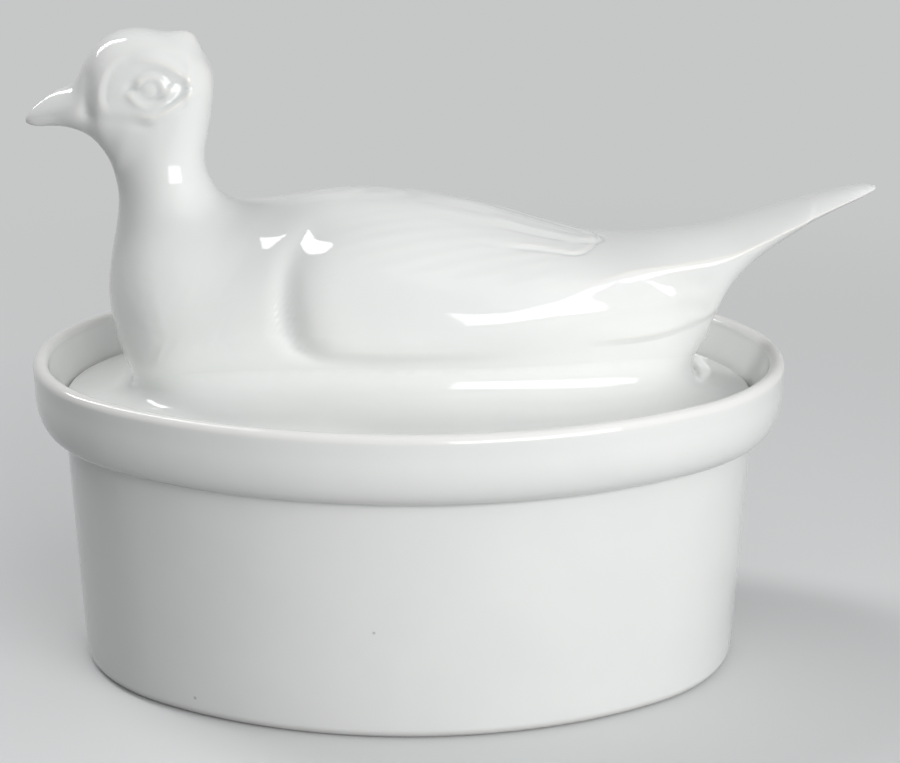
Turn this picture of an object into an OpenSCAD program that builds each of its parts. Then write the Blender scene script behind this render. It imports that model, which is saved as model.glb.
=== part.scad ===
// Oval casserole dish with a drop-in lid that carries a sitting game bird.
// The middle of the foot is at the origin, +Z is up, and the bird looks along -X.

/* [Dish] */
// Length over the rim
dish_length = 290; // [275:1:310]
// Width over the rim
dish_width = 226; // [214:1:240]
// Height from the foot to the top of the rim
dish_height = 121; // [105:1:140]
// Thickness of the side wall
wall = 6; // [4.5:0.5:7]
// Thickness of the floor
floor_thickness = 6; // [4:0.5:9]
// How far the side wall leans out between the foot and the rim band
wall_lean = 5.2; // [2:0.2:8]
// Height of the foot ring under the floor
foot_height = 2.5; // [1.5:0.5:4]
// Width of the flat, unglazed foot ring
foot_ring = 4.5; // [3:0.5:8]
// Rounding between the wall and the foot ring
foot_rounding = 4.5; // [2:0.5:7]
// Rounding between the floor and the wall inside
floor_rounding = 12; // [6:1:20]

/* [Rim] */
// Height of the rim band that stands out from the wall
band_height = 27.5; // [24:0.5:32]
// How far the rim band stands out from the wall
band_step = 11.5; // [10.5:0.5:14]
// Height over which the band's underside curves in
band_curve = 19; // [12:1:21]
// Thickness of the lip at the top
lip = 6; // [4:0.5:7]
// Depth of the lid's ledge below the top of the rim
ledge_depth = 18.5; // [15:0.5:20]
// Distance from the rim's outer edge in to the well that takes the lid
well_inset = 11; // [10:0.5:12]

/* [Lid] */
// Gap between the lid's edge and the well, all round
lid_clearance = 1; // [0.5:0.1:2]
// Thickness of the lid's outer edge
lid_edge = 3.5; // [3:0.5:6]
// Thickness of the lid where it rises to the bird
lid_wall = 5; // [4:0.5:6]
// Width of the flat face that rests on the ledge
seat_width = 7; // [5:0.5:10]
// Rise of the lid from its edge to the bird's flanks
side_rise = 9; // [5:0.5:12]
// Rise of the lid from its edge to the bird's tail end
rear_rise = 6; // [3:0.5:9]
// Rise of the lid from its edge to the bird's breast
front_rise = 1.5; // [1:0.5:6]

/* [Bird] */
// Length from the tip of the beak to the tip of the tail
bird_length = 322; // [310:1:335]
// Height from the lid's edge to the crown
bird_height = 140; // [125:1:155]
// Width across the body
bird_width = 105; // [95:1:112]
// How far the folded wing stands out from the breast
wing_relief = 4; // [1:0.5:6]

/* [Hidden] */
$fn = 96;

// The oval is made of four arcs. The centres stand in a 3:4 ratio, so that the arcs meet on 3-4-5 lines.
oval_unit = (dish_length - dish_width) / 4;
end_centre = 3 * oval_unit;
side_centre = 4 * oval_unit;
end_radius = dish_length / 2 - end_centre;
side_radius = dish_width / 2 + side_centre;
wedge_reach = dish_length / 4;

band_z = dish_height - band_height;
ledge_z = dish_height - ledge_depth;
floor_z = foot_height + floor_thickness;
band_flare = 0.3;
band_fillet = 2.5;
band_power = 2.4;
ledge_rounding = 1;

lid_inset = well_inset + lid_clearance;
lid_z = ledge_z + lid_edge;
edge_rounding = 1.2;

// A round stretch of an outline from angle a0 to a1
function arc(centre, r, a0, a1, steps) =
    [for (i = [0:steps]) let (a = a0 + (a1 - a0) * i / steps) centre + r * [cos(a), sin(a)]];

// Outer face of the wall: distance from the rim's outer edge, negative inwards
function wall_at(z) = -band_step - wall_lean * (1 - z / band_z);

// Small shapes of the wall's section
band_angles = [75:-15:0];
well_rounding = [0.6, 2];    // the well's corner: distance in and height up at its start
inner_rounding = 0.3;

// The wall's section, from the middle of the underside out, up over the lip and back in to the floor
function dish_section(radius) =
    let (
        tilt = atan(wall_lean / band_z),
        foot_mid = [wall_at(foot_rounding) - foot_rounding / cos(tilt), foot_rounding],
        band_mid = [wall_at(band_z - band_fillet) + band_fillet, band_z - band_fillet],
        curve_width = -band_flare - band_mid[0],
        floor_mid = [wall_at(floor_z + floor_rounding) - wall - floor_rounding, floor_z + floor_rounding],
        inner_top = wall_at(ledge_z) - wall,
        outline = concat(
            [[foot_mid[0] - foot_ring - foot_height, foot_height], [foot_mid[0] - foot_ring, 0]],
            arc(foot_mid, foot_rounding, -90, -tilt, 6),
            arc(band_mid, band_fillet, 180 - tilt, 90, 4),
            [for (a = band_angles)
                [band_mid[0] + curve_width * pow(cos(a), 2 / band_power),
                 band_z + band_curve * (1 - pow(sin(a), 2 / band_power))]],
            arc([-lip / 2, dish_height - lip / 2], lip / 2, 0, 180, 12),
            [[-well_inset + inner_rounding, ledge_z + well_rounding[1]],
             [-well_inset, ledge_z + well_rounding[0]],
             [-well_inset - well_rounding[0], ledge_z]],
            arc([inner_top + ledge_rounding, ledge_z - ledge_rounding], ledge_rounding, 90, 180, 4),
            arc(floor_mid, floor_rounding, 0, -90, 10)
        )
    )
    concat([[0, foot_height]], [for (p = outline) [radius + p[0], p[1]]], [[0, floor_z]]);

// One turned sector of the dish, cut to its share of the oval
module sector(centre, radius, cut) {
    intersection() {
        translate([centre[0], centre[1], 0]) rotate_extrude() polygon(dish_section(radius));
        translate([0, 0, -1]) linear_extrude(dish_height + 2) polygon(cut);
    }
}

module dish() {
    near = end_centre;
    far = end_centre + 3 * wedge_reach;
    high = 4 * wedge_reach;
    color("white") union() {
        for (side = [-1, 1]) {
            sector([side * end_centre, 0], end_radius,
                [[side * near, 0], [side * far, high], [side * far, -high]]);
            sector([0, -side * side_centre], side_radius,
                [[near, 0], [far, side * high], [-far, side * high], [-near, 0]]);
        }
    }
}

// The bird and the lid are one skin, worked out from cross-sections along the bird.
// Each row is one section: top point x, z; bottom point x, z; half width; how high up the widest
// place is, as a share; roundness of the upper and of the lower half, where 2 is an ellipse; and
// how far the upper half is a flat blade with a crisp edge.
// Heights are above the lid's edge. The sections are drawn for these sizes and stretched to the ones above.
drawn_length = 322;
drawn_height = 140;
drawn_width = 105;
sections = [
    [-144.6, 106, -144.4, 103.9, 0.9, 0.5, 2, 2, 0],      // tip of the beak
    [-142, 109.4, -140.5, 102.6, 2.9, 0.45, 1.7, 2, 0],
    [-134, 115.4, -133, 102.7, 5.5, 0.45, 1.5, 1.8, 0],
    [-126, 119.4, -125.5, 101.4, 8, 0.48, 1.6, 1.9, 0],   // root of the beak
    [-121.5, 126.3, -119.8, 98.4, 12, 0.5, 2, 2, 0],
    [-114.5, 136.8, -115.8, 94, 16.6, 0.55, 2.2, 2, 0],   // forehead
    [-103.4, 140.2, -113, 89, 18.4, 0.6, 2.2, 2, 0],      // crown
    [-92, 138, -111.8, 85.3, 18.2, 0.58, 2.1, 2, 0],
    [-82.5, 132.2, -111.4, 83.6, 17.4, 0.55, 2, 2, 0],    // back of the head
    [-76.4, 124.2, -111.1, 82, 16.8, 0.52, 2, 2, 0],
    [-73.6, 114, -110.8, 80, 16.6, 0.5, 2, 2, 0],         // nape
    [-75.2, 100, -110.4, 77, 16.8, 0.5, 2, 2, 0],
    [-77, 89.5, -110.6, 71.5, 19, 0.5, 2, 2, 0],
    [-75, 81.6, -112, 62.5, 24, 0.47, 2, 2, 0],
    [-71.5, 78, -114.6, 49, 31.5, 0.45, 2, 2, 0],         // breast
    [-67, 76, -115.4, 35, 38, 0.43, 2, 2, 0],
    [-62, 75, -112.5, 21.5, 42.5, 0.42, 2, 2, 0],
    [-55, 75, -107.5, 9.5, 45.5, 0.42, 2, 2, 0],          // front of the base
    [-45, 76, -99, 1.5, 48, 0.43, 2, 2, 0],
    [-29, 78, -74, -1, 50.5, 0.44, 2.1, 2, 0],
    [-6, 78.4, -34, -1, 52.3, 0.46, 2.2, 2, 0],           // middle of the back
    [20, 75.6, 12, -1, 52.4, 0.48, 2.2, 2, 0],
    [44, 69, 54, -0.5, 49.3, 0.53, 2.2, 2.1, 0],
    [65, 62.9, 86, 1.5, 42.5, 0.69, 2.2, 2.2, 0.3],
    [80, 60.8, 102.5, 6.5, 35.8, 0.83, 2.1, 2.3, 0.85],
    [93, 61, 111, 15, 30, 0.85, 2, 2.1, 1],               // rear of the base
    [112, 64.2, 115.5, 24.5, 26.3, 0.82, 2, 2.2, 0.9],
    [128, 68.4, 121.8, 39.5, 24.7, 0.73, 2, 2, 0.85],
    [145, 73.8, 137, 55, 22, 0.65, 1.9, 1.7, 0.8],          // tail
    [160, 78.2, 157, 69.6, 16, 0.52, 1.9, 1.7, 0.75],
    [171, 80.4, 170, 75.2, 10.5, 0.5, 1.9, 1.8, 0.6],
    [177.2, 79.9, 177, 78, 3, 0.5, 2, 2, 0.4]          // tip of the tail
];
base_front = 17;    // sections between these two stand on the lid
base_rear = 25;
face_front = 5;     // sections between these two carry the face
face_rear = 10;
front_steps = 2;    // sections made for each drawn one in front of the base
face_steps = 4;
base_steps = 33;
bunching = 0.85;
tail_steps = 2;
rows = 22;          // points from the top of a section down to its bottom

// Height of the line where the bird's wall meets the sweep of the lid
base_front_z = 9.5;
base_side_z = 20.5;
base_rear_z = 15;
base_tuck = 3;             // how far the wall draws in below that line
base_slenderness = 2.3;    // length over width of the bird's foot
under_lift = 0.2;          // how far the underside is clear of the ledge inside the seat
foot_wall = 1.1;           // the wall's share of its thickness at the bird's foot
sweep_turn = 0.3;          // share of the sweep that the rounding at the bird's foot takes
fillet_steps = 4;
sweep_steps = 4;

// Inside of the hollow bird: height, front x, rear x and half width of each level
hollow = [
    [20, -104.5, 105.5, 41.5],
    [36, -109, 106, 44.5],
    [48, -108.5, 98, 43.5],
    [57, -107.5, 72, 38],
    [64, -106, 40, 28.5],
    [69, -105, 0, 16.5],
    [71, -105, -52, 12.5],
    [74, -105, -76, 11],
    [82, -105.4, -82.5, 11],
    [92, -107, -82.5, 11],
    [104, -111.5, -80, 11.5],
    [116, -114, -79, 12],
    [126, -111, -82, 11],
    [131, -105, -89, 7]
];
hollow_power = 2.2;

stretch_x = bird_length / drawn_length;
stretch_y = bird_width / drawn_width;
stretch_z = bird_height / drawn_height;

// The base's sections lie closer together towards both ends
function base_stop(share) =
    let (eased = bunching * (1 - cos(180 * share)) / 2 + (1 - bunching) * share)
    base_front + (base_rear - base_front) * eased;
stops = concat(
    [for (i = [0:face_front * front_steps - 1]) i / front_steps],
    [for (i = [0:(face_rear - face_front) * face_steps - 1]) face_front + i / face_steps],
    [for (i = [0:(base_front - face_rear) * front_steps - 1]) face_rear + i / front_steps],
    [for (i = [0:base_steps]) base_stop(i / base_steps)],
    [for (i = [1:(len(sections) - 1 - base_rear) * tail_steps]) base_rear + i / tail_steps]
);
first_base = (face_front + base_front - face_rear) * front_steps + (face_rear - face_front) * face_steps;
last_base = first_base + base_steps;

// A smooth curve through the drawn sections
function drawn(u) =
    let (
        last = len(sections) - 1,
        i = min(floor(u), last - 1),
        t = u - i,
        a = sections[max(i - 1, 0)],
        b = sections[i],
        c = sections[i + 1],
        d = sections[min(i + 2, last)]
    )
    (2 * b + (c - a) * t + (2 * a - 5 * b + 4 * c - d) * t * t + (3 * b - a - 3 * c + d) * t * t * t) / 2;

function signed_power(v, p) = sign(v) * pow(abs(v), p);

// Height at which the section at u is cut off: the line of the base, or else its own bottom
function cut_z(u, bottom_z) =
    let (
        along = 2 * (u - base_front) / (base_rear - base_front) - 1,
        end_z = along < 0 ? base_front_z : base_rear_z
    )
    abs(along) < 1 ? max(bottom_z, base_side_z - (base_side_z - end_z) * pow(abs(along), 3)) : bottom_z;

// 0 up to the first place, 1 from the second one on, smooth between
function ease(from, to, v) = let (t = min(1, max(0, (v - from) / (to - from)))) t * t * (3 - 2 * t);
function bell(v, width) = exp(-pow(v / width, 2));

// The folded wing stands out inside a rounded front outline, with a crease just in front of it
wing_mid = [-10, 47];
wing_reach = [35.5, 29];
wing_power = 2.6;
wing_round = 8;
wing_rear = [70, -10];      // the fullness fades out between these
wing_top = [78, 68];
wing_foot = [22, 40];
crease_depth = 2.2;
crease_width = 7;
function wing_push(x, z) =
    let (
        dx = max(0, wing_mid[0] - x) / wing_reach[0],
        dz = abs(z - wing_mid[1]) / wing_reach[1],
        inside = wing_reach[1] * (1 - pow(pow(dx, wing_power) + pow(dz, wing_power), 1 / wing_power)),
        fade = ease(wing_rear[0], wing_rear[1], x) * ease(wing_top[0], wing_top[1], z)
            * ease(wing_foot[0], wing_foot[1], z)
    )
    fade * ((inside > 0 ? wing_relief * (1 - bell(inside, wing_round)) : 0)
        - crease_depth * bell(inside, crease_width));

// Three tiers of long feathers lie a step above each other over the back: degrees down from the
// middle of the back, x where the rounded tip begins and where it ends, height of the step
feathers = [
    [31, 40, 73, 0.9],
    [47, 42, 69, 0.7],
    [70, 30, 66, 0.6]
];
feather_axis = 35;
feather_power = 2.2;
feather_arc = 0.65;         // length along the back of one degree
feather_edge = 4;           // width over which a step runs out
feather_front = [-5, 40];
feather_rear = [102, 76];
feather_foot = [40, 50];
function feather_push(x, y, z) =
    let (
        around = 90 - atan2(z - feather_axis, abs(y)),
        steps = [for (f = feathers) let (
                dx = max(0, x - f[1]) / (f[2] - f[1]),
                across = max(0, around) / f[0],
                out = pow(pow(dx, feather_power) + pow(across, feather_power), 1 / feather_power),
                inside = (1 - out) * f[0] * feather_arc
            ) f[3] * (ease(-feather_edge, feather_edge, 2 * inside) - 0.5)]
    )
    (steps[0] + steps[1] + steps[2]) * ease(feather_front[0], feather_front[1], x)
        * ease(feather_rear[0], feather_rear[1], x) * ease(feather_foot[0], feather_foot[1], z);

// Under the tail's edge run two shallow channels: height, width and depth of each.
// Below a soft step the flank draws in towards the base.
channels = [[49.5, 4, 0.9], [38, 4, 0.5]];
rump_front = [60, 85];
rump_rear = [116, 108];
rump_z = 28.5;
rump_turn = [78, 38, 6];    // behind the first place the step turns up
rump_depth = 1.5;
rump_edge = 2.5;
function rump_push(x, z) =
    let (
        cut = [for (c = channels) c[2] * bell(z - c[0], c[1])],
        step_z = rump_z + rump_turn[2] * pow(max(0, x - rump_turn[0]) / rump_turn[1], 3)
    )
    -ease(rump_front[0], rump_front[1], x)
        * ((cut[0] + cut[1]) * ease(rump_rear[0], rump_rear[1], x)
            + rump_depth * ease(rump_edge, -rump_edge, z - step_z));

// The pointed tuft at the back of the crown, which stands out along the head
crest_mid = [-83, 136];
crest_height = 5.5;
crest_spread = 6.7;
crest_width = 7;
crest_lean = [0.55, 0.83];
function crest_push(x, y, z) =
    let (d = norm([x - crest_mid[0], z - crest_mid[1]]))
    crest_height * bell(d, crest_spread) * bell(y, crest_width) * crest_lean;

// The side of the head: a raised eye, two ridges that meet behind it, the flat disc of the face
// below the cap, the edge in front of the nape, and the hollow at the root of the beak
eye_mid = [-95.5, 119.5];
eye_height = 1.4;
eye_radius = 4;
almond_mid = [-97, 119.7];
almond_length = 21;
almond_height = 10.4;
almond_power = 1.3;
almond_front = [-101, -90];
almond_ridge = 0.8;
almond_width = 2.6;
disc_mid = [-97, 117];
disc_radius = 18.2;
disc_edge = 4;
disc_foot = [108, 116];
disc_depth = 0.9;
nape_x = -79.5;
nape_ridge = 0.6;
nape_width = 2.4;
nape_foot = [110, 116];
beak_root = -118.7;
beak_root_width = 3;
beak_root_depth = 1.5;
beak_root_foot = [102, 108];
function face_push(x, z) =
    let (
        t = min(1, abs(x - almond_mid[0]) / almond_length),
        q = abs(z - almond_mid[1]) - almond_height * pow(cos(90 * t), almond_power),
        almond = t < 1 ? almond_ridge * bell(q, almond_width) : 0,
        disc = disc_depth * ease(0, disc_edge, disc_radius - norm([x - disc_mid[0], z - disc_mid[1]])),
        root = beak_root_depth * bell(x - beak_root, beak_root_width)
    )
    eye_height * bell(norm([x - eye_mid[0], z - eye_mid[1]]), eye_radius)
        + almond * ease(almond_front[0], almond_front[1], x)
        - disc * ease(disc_foot[0], disc_foot[1], z)
        + nape_ridge * bell(x - nape_x, nape_width) * ease(nape_foot[0], nape_foot[1], z)
        - root * ease(beak_root_foot[0], beak_root_foot[1], z);

// Point number j of the section at u, on side -1 or 1; j = 0 is the top. Angle a turns from 90 at the
// top through 0 at the widest place. The points below that one close up where the section is cut off.
relief_start = 12;          // half width from which the carving on the flanks is full
closing = [3, 70];
function section_point(u, j, side) =
    let (
        s = drawn(u),
        top = [s[0], s[1]],
        bottom = [s[2], s[3]],
        deep = 1 - (cut_z(u, s[3]) - s[3]) / (s[1] - s[3]) / s[5],    // share left below the widest place
        lost = 90 - asin(min(1, pow(deep, s[7] / 2))),
        below = max(0, 2 * j / rows - 1),
        a = 90 - 180 * j / rows + lost * pow(below, min(closing[0], closing[1] / (lost + 1))),
        power = 2 / (a > 0 ? s[6] : s[7]),
        flat = a > 0 ? min(1, max(0, s[8])) : 0,
        q = 1 - a / 90,
        y = s[4] * ((1 - flat) * pow(max(cos(a), 0), power) + flat * q),
        rise = (1 - flat) * pow(abs(sin(a)), power) + flat * (1 - q * q),
        p = bottom + (a > 0 ? s[5] + (1 - s[5]) * rise : s[5] * (1 - rise)) * (top - bottom),
        flank = ease(0, relief_start, y)
            * (wing_push(p[0], p[1]) + face_push(p[0], p[1]) + rump_push(p[0], p[1])),
        tier = feather_push(p[0], y, p[1]),
        up = tier * sin(a) / norm(top - bottom) * (top - bottom) + crest_push(p[0], y, p[1]),
        closed = j == 0 || j == rows && deep > 0.9999
    )
    place([p[0] + up[0], closed ? 0 : side * (y + (flank + tier) * max(cos(a), 0)), p[1] + up[1]]);

// From drawn sizes to the model's own
function place(p) = [p[0] * stretch_x, p[1] * stretch_y, lid_z + p[2] * stretch_z];

// A point on the oval that lies inset inside the rim's outer edge, where the outward direction is a
function oval_point(inset, a) =
    3 * abs(sin(a)) < 4 * abs(cos(a))
        ? [sign(cos(a)) * end_centre, 0] + (end_radius - inset) * [cos(a), sin(a)]
        : [0, -sign(sin(a)) * side_centre] + (side_radius - inset) * [cos(a), sin(a)];

// Rise of the lid from its edge to the bird's foot
front_power = 1.5;
function lid_rise(a) =
    cos(a) < 0
        ? front_rise + (side_rise - front_rise) * pow(sin(a), front_power)
        : rear_rise + (side_rise - rear_rise) * sin(a);

// The lid from the bird's base out over its edge and in again to the hollow, at one place on one side
function lid_column(share, side) =
    let (
        start = section_point(base_stop(share), rows, side),
        base_mid = (section_point(base_front, rows, 1)[0] + section_point(base_rear, rows, 1)[0]) / 2,
        a = atan2(abs(start[1]) * base_slenderness, start[0] - base_mid),
        rim = oval_point(lid_inset + edge_rounding, side * a),
        out = [rim[0] - start[0], rim[1] - start[1]],
        rise = lid_rise(a),
        tuck = -base_tuck / norm(out),
        corner = [start[0] + tuck * out[0], start[1] + tuck * out[1], lid_z + rise],
        reach = [rim[0] - corner[0], rim[1] - corner[1]],
        landing = sweep_at(corner, reach, rise, sweep_turn),
        edge = function (inset, z) let (p = oval_point(lid_inset + inset, side * a)) [p[0], p[1], z],
        r = edge_rounding,
        bevel = (1 - cos(45)) * r,
        seat = oval_point(lid_inset + edge_rounding + seat_width, side * a),
        inner = (base_tuck + foot_wall * lid_wall) / norm(out),
        under = [start[0] - inner * out[0] - seat[0], start[1] - inner * out[1] - seat[1]],
        under_z = lid_z + rise - lid_wall
    )
    concat(
        [for (i = [1:fillet_steps]) let (t = i / fillet_steps)
            (1 - t) * (1 - t) * start + 2 * t * (1 - t) * corner + t * t * landing],
        [for (i = [1:sweep_steps]) let (t = sweep_turn + (1 - sweep_turn) * i / sweep_steps)
            sweep_at(corner, reach, rise, t)],
        [edge(bevel, lid_z - bevel), edge(0, lid_z - r), edge(0, ledge_z + r), edge(bevel, ledge_z + bevel),
         edge(r, ledge_z), [seat[0], seat[1], ledge_z]],
        [for (t = [0.5, 1]) [seat[0] + t * under[0], seat[1] + t * under[1],
            ledge_z + max(under_lift * t, (under_z - ledge_z) * t * t)]],
        [for (level = hollow) let (
                middle = (level[1] + level[2]) / 2,
                p = [middle + (level[2] - level[1]) / 2 * signed_power(cos(a), 2 / hollow_power),
                     side * level[3] * pow(abs(sin(a)), 2 / hollow_power), level[0]]
            ) place(p)]
    );

// Point of the lid's sweep, from 0 under the bird's wall to 1 at the lid's edge
function sweep_at(corner, reach, rise, t) =
    [corner[0] + t * reach[0], corner[1] + t * reach[1], lid_z + rise * (1 - t) * (1 - t)];

ring = 2 * rows + 1;
columns = 2 * base_steps;
column_rows = len(lid_column(0, 1));

// Numbers of the points: the bird's sections first, then the lid's columns
function bird_index(i, j) =
    i * ring + (j == 2 * rows && !(i > first_base && i < last_base) ? 0 : j);
function lid_index(c, r) =
    let (k = c % columns)
    r > 0 ? len(stops) * ring + k * column_rows + r - 1
          : k <= base_steps ? bird_index(first_base + k, 0) : bird_index(first_base + columns - k, 2 * rows);

// The two triangles of a four-sided patch
function patch(a, b, c, d) = [[a, b, c], [a, c, d]];

module lid() {
    bird_points = [for (u = stops) for (j = [-rows:rows]) section_point(u, abs(j), j < 0 ? -1 : 1)];
    lid_points = [for (c = [0:columns - 1])
        each c <= base_steps ? lid_column(c / base_steps, -1) : lid_column((columns - c) / base_steps, 1)];
    last = len(stops) - 1;
    // The patches are split alike on both sides, along the way the carving runs
    face_end = face_front * front_steps + (face_rear - face_front) * face_steps;
    mid_base = first_base + base_steps / 2;
    faces = concat(
        [for (i = [0:last - 1]) for (j = [0:2 * rows - 1])
            let (
                corner = [bird_index(i, j), bird_index(i, j + 1),
                    bird_index(i + 1, j + 1), bird_index(i + 1, j)]
            )
            each j < rows == (i < face_end || i >= mid_base)
                ? patch(corner[0], corner[1], corner[2], corner[3])
                : patch(corner[1], corner[2], corner[3], corner[0])],
        [[for (j = [2 * rows - 1:-1:0]) bird_index(0, j)]],
        [[for (j = [0:2 * rows - 1]) bird_index(last, j)]],
        [for (c = [0:columns - 1]) for (r = [0:column_rows - 1])
            each patch(lid_index(c, r), lid_index(c + 1, r), lid_index(c + 1, r + 1), lid_index(c, r + 1))],
        [[for (c = [0:columns - 1]) lid_index(c, column_rows)]]
    );
    color("white") polyhedron(concat(bird_points, lid_points), faces, convexity = 8);
}

dish();
lid();
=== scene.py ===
# Oval porcelain casserole dish with a drop-in lid, cast in one with a sitting hen pheasant.
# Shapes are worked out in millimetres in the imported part's own frame, and meshes are in metres.
import math

import bmesh
import bpy
import numpy as np
from mathutils import Matrix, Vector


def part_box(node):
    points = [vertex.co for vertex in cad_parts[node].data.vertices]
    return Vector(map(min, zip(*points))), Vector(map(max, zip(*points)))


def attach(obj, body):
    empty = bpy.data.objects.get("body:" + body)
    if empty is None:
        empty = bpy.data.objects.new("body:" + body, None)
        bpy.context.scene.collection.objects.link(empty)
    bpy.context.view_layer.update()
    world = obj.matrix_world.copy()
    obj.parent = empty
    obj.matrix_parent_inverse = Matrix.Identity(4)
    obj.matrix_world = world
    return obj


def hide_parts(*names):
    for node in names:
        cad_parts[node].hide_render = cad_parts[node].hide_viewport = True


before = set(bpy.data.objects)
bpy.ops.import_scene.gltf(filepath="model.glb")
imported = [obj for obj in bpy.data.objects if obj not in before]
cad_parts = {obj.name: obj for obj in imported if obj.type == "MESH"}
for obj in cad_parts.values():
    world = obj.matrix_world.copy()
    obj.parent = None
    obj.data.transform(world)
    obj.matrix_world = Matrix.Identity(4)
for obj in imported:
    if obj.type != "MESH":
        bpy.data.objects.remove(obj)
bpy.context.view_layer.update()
dishLow, dishHigh = (np.array(corner) * 1000 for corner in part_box("dish"))
lidLow = np.array(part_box("lid")[0]) * 1000
print("frame loaded, dish", np.round(dishHigh - dishLow, 1), "mm, lid rests at", round(lidLow[2], 1), "mm")


def ease(v, start=0, end=1):
    # 3tt - 2ttt, where t is the share of the way from start to end that v has come
    t = np.clip((v - start) / (end - start), 0, 1)
    return t * t * (3 - 2 * t)


def bell(v, width=1):
    # e to the minus square of v over width: 1 at 0, almost nothing two widths away
    return np.exp(-((v / width) ** 2))


def smoothCurve(table, u):
    # natural cubic spline through the rows of a table, at places u counted in rows:
    # (1-t)a + tb + (((1-t)^3 - (1-t))A + (t^3 - t)B) / 6, with A and B the bends at the rows
    n = len(table)
    bend = np.zeros_like(table)
    system = np.diag(np.full(n - 2, 4.0)) + np.diag(np.ones(n - 3), 1) + np.diag(np.ones(n - 3), -1)
    bend[1:-1] = np.linalg.solve(system, 6 * (table[2:] - 2 * table[1:-1] + table[:-2]))
    i = np.clip(np.floor(u).astype(int), 0, n - 2)
    t = (u - i)[:, None]
    curved = ((1 - t) ** 3 - (1 - t)) * bend[i] + (t ** 3 - t) * bend[i + 1]
    return (1 - t) * table[i] + t * table[i + 1] + curved / 6


def glazeAndHollowShadeOn(grid, outwardSign):
    # how thick the glaze lies, 0.5 on the flat, towards 1 in hollows and 0 on edges; near 1 it also marks
    # where shade is painted into hollows and creases: 0.5 + 0.5 tanh(3 mm x curvature), the curvature from
    # neighbours two steps away both ways of the grid
    rows = np.gradient(grid, axis=0)
    columns = np.gradient(grid, axis=1)
    normal = np.cross(rows, columns) * outwardSign
    normal /= np.linalg.norm(normal, axis=-1, keepdims=True) + 1e-9
    curvature = 0
    for axis in (0, 1):
        ahead, behind = np.roll(grid, -2, axis), np.roll(grid, 2, axis)
        square = ((ahead - behind) ** 2).sum(-1) / 4 + 0.3
        curvature = curvature + ((ahead + behind - 2 * grid) * normal).sum(-1) / square
    curvature[:2] = curvature[2]
    curvature[-2:] = curvature[-3]
    return 0.5 + 0.5 * np.tanh(3 * curvature)


def gridFaces(rows, columns, wrap, offset=0):
    # four-sided faces between neighbouring points of a grid, numbered row by row
    row, column = np.meshgrid(np.arange(rows - 1), np.arange(columns if wrap else columns - 1), indexing="ij")
    after = (column + 1) % columns
    first, second = row * columns, (row + 1) * columns
    quads = np.stack([first + column, first + after, second + after, second + column], -1)
    return quads.reshape(-1, 4) + offset


def makePiece(name, points, faces, attributes):
    # one mesh from points in millimetres, with a number on every point for each attribute;
    # seams and poles close where points coincide
    mesh = bpy.data.meshes.new(name)
    mesh.vertices.add(len(points))
    mesh.vertices.foreach_set("co", (points / 1000).astype(np.float32).ravel())
    mesh.loops.add(faces.size)
    mesh.loops.foreach_set("vertex_index", faces.ravel().astype(np.int32))
    mesh.polygons.add(len(faces))
    mesh.polygons.foreach_set("loop_start", (np.arange(len(faces)) * 4).astype(np.int32))
    for key, values in attributes.items():
        attribute = mesh.attributes.new(key, "FLOAT", "POINT")
        attribute.data.foreach_set("value", values.astype(np.float32).ravel())
    mesh.update(calc_edges=True)
    bm = bmesh.new()
    bm.from_mesh(mesh)
    bmesh.ops.remove_doubles(bm, verts=bm.verts, dist=2e-6)
    bmesh.ops.dissolve_degenerate(bm, edges=bm.edges, dist=2e-6)
    bmesh.ops.recalc_face_normals(bm, faces=bm.faces)
    bm.to_mesh(mesh)
    bm.free()
    mesh.polygons.foreach_set("use_smooth", np.ones(len(mesh.polygons), bool))
    piece = bpy.data.objects.new(name, mesh)
    bpy.context.collection.objects.link(piece)
    mesh.calc_loop_triangles()
    print(name, len(mesh.loop_triangles), "triangles")
    return piece


oval = {"length": dishHigh[0] - dishLow[0], "width": dishHigh[1] - dishLow[1]}
touching = 0.05  # a point this near the ledge's level lies on it


def ovalPoint(inset, angle):
    # the oval of four arcs that lies inset inside the rim, where its outward direction is angle. The arcs'
    # centres stand in a 3:4 ratio, so they meet on 3-4-5 lines: centre + (radius - inset) cos and sin
    unit = (oval["length"] - oval["width"]) / 4
    endRadius = oval["length"] / 2 - 3 * unit
    sideRadius = oval["width"] / 2 + 4 * unit
    c, s = np.cos(angle), np.sin(angle)
    onEnd = 3 * np.abs(s) < 4 * np.abs(c)
    x = np.where(onEnd, np.sign(c) * 3 * unit + (endRadius - inset) * c, (sideRadius - inset) * c)
    y = np.where(onEnd, (endRadius - inset) * s, -np.sign(s) * 4 * unit + (sideRadius - inset) * s)
    return x, y


def arc(cx, cz, r, start, end, steps):
    # a round stretch of a profile: centre + r cos and centre + r sin, from start to end in degrees
    a = np.radians(np.linspace(start, end, steps + 1))
    return np.column_stack([cx + r * np.cos(a), cz + r * np.sin(a)])


def line(x0, z0, x1, z1, steps):
    # the points inside a straight stretch of a profile, without its two ends
    t = np.linspace(0, 1, steps + 1)[1:-1]
    return np.column_stack([x0 + (x1 - x0) * t, z0 + (z1 - z0) * t])


# the dish: a leaning wall on a foot ring, a swelling band and lip at the top, and a ledge for the lid
dishShape = {
    "height": dishHigh[2],
    "ledge": lidLow[2],
    "wall": 6, "wallLean": 5.2, "floor": 6,
    "footHeight": 2.5, "footRing": 4.5, "footRounding": 4.5, "ringRounding": 1, "ringSlope": 3.4,
    "floorRounding": 12, "ledgeRounding": 1.2, "ledgeCorner": 1,
    "bandHeight": 27.5, "bandStep": 11.5, "bandCurve": 19, "bandFlare": 0.3, "bandFillet": 2.5,
    "bandPower": 2.4, "lip": 6, "wellInset": 11, "wellLean": 0.6, "bareFoot": 0.3,
    "around": 420,
}


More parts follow.
